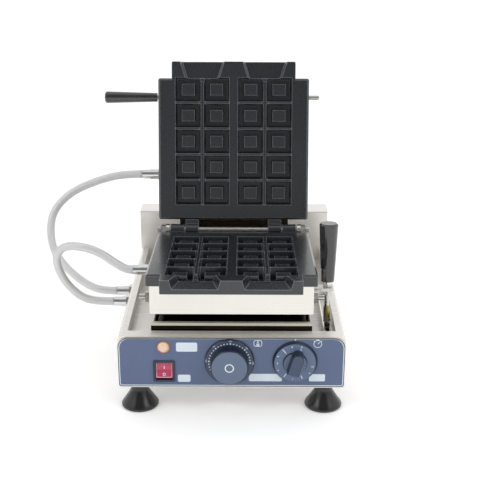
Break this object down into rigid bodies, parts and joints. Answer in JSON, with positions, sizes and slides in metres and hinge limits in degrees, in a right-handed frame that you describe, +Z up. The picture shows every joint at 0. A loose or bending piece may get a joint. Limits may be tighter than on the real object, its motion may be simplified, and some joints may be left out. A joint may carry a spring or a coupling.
{
  "type": "rotating waffle maker",
  "caption": "Counter-top waffle maker with two deep-celled cast irons hinged on one rear axle over a sheet-steel base with a switch, a heat dial and a timer.",
  "frame": {"origin": "middle of the object's footprint, on the plane of its feet", "axes": "+X to the right along the hinge axle, +Y towards the back, +Z up"},
  "size_m": [0.4048, 0.379, 0.3903],
  "materials": {
    "steel_sheet": "satin",
    "bright_steel": "polished",
    "steel_bar": "satin",
    "zinc_hardware": "zinc plated",
    "chrome_trim": "polished",
    "steel_braid": "braided",
    "element_steel": "matte",
    "cast_plate": "dark non-stick coat",
    "panel_paint": "semi-gloss print",
    "black_rubber": "matte",
    "black_plastic": "matte",
    "black_knob": "satin",
    "black_grip": "satin, moulded phenolic",
    "white_plastic": "matte",
    "red_rocker": "gloss, lit red",
    "orange_lens": "gloss",
    "brass_bush": "dull"
  },
  "bodies": {
    "base": {"base_shell": "steel_sheet", "bottom_cover": "steel_sheet", "rear_box": "steel_sheet", "front_panel": "panel_paint", "rubber_feet": "black_rubber", "drip_tray": "bright_steel", "axle_brackets": "steel_sheet", "axle_pin": "steel_bar", "axle_nuts": "zinc_hardware", "slot_wall": "steel_sheet", "rod_rest": "black_rubber", "rocker_frame": "black_plastic", "lamp_bezel": "chrome_trim", "lamp_lens": "orange_lens", "thermostat_body": "black_plastic", "timer_body": "black_plastic", "terminal_block": "white_plastic", "base_glands": "chrome_trim", "mains_gland": "black_plastic", "upper_hose": "steel_braid", "lower_hose": "steel_braid"},
    "lower_iron": {"lower_plate": "cast_plate", "lower_ribs": "cast_plate", "lower_knobs": "cast_plate", "lower_knuckles": "cast_plate", "lower_housing": "steel_sheet", "lower_element": "element_steel", "lower_sensor": "element_steel", "lower_gland": "chrome_trim", "lower_screws": "zinc_hardware", "side_studs": "zinc_hardware", "lift_bracket": "zinc_hardware", "lift_rod": "zinc_hardware", "lift_nuts": "zinc_hardware", "lift_ferrule": "chrome_trim", "lift_grip": "black_grip", "lift_bush": "brass_bush"},
    "upper_iron": {"upper_plate": "cast_plate", "upper_ribs": "cast_plate", "upper_knobs": "cast_plate", "upper_knuckles": "cast_plate", "upper_housing": "steel_sheet", "upper_element": "element_steel", "upper_sensor": "element_steel", "upper_gland": "chrome_trim", "upper_screws": "zinc_hardware", "handle_rod": "steel_bar", "handle_grip": "black_grip"},
    "switch_rocker": {"rocker": "red_rocker"},
    "thermostat_dial": {"thermostat_knob": "black_knob"},
    "timer_dial": {"timer_knob": "black_knob"}
  },
  "joints": [
    {"name": "lower_iron_hinge", "type": "hinge", "parent": "base", "child": "lower_iron", "pos_m": [0.022, 0.0555, 0.162], "axis": [1, 0, 0], "range_deg": [-98.8, 0]},
    {"name": "upper_iron_hinge", "type": "hinge", "parent": "base", "child": "upper_iron", "pos_m": [0.022, 0.0555, 0.162], "axis": [1, 0, 0], "range_deg": [0, 98.8]},
    {"name": "switch_rocker", "type": "hinge", "parent": "base", "child": "switch_rocker", "pos_m": [-0.061, -0.1635, 0.0562], "axis": [1, 0, 0], "range_deg": [0, 20]},
    {"name": "thermostat_turn", "type": "hinge", "parent": "base", "child": "thermostat_dial", "pos_m": [0.0197, -0.1705, 0.0696], "axis": [0, 1, 0], "range_deg": [0, 300]},
    {"name": "timer_turn", "type": "hinge", "parent": "base", "child": "timer_dial", "pos_m": [0.1002, -0.1705, 0.0696], "axis": [0, 1, 0], "range_deg": [0, 330]}
  ]
}
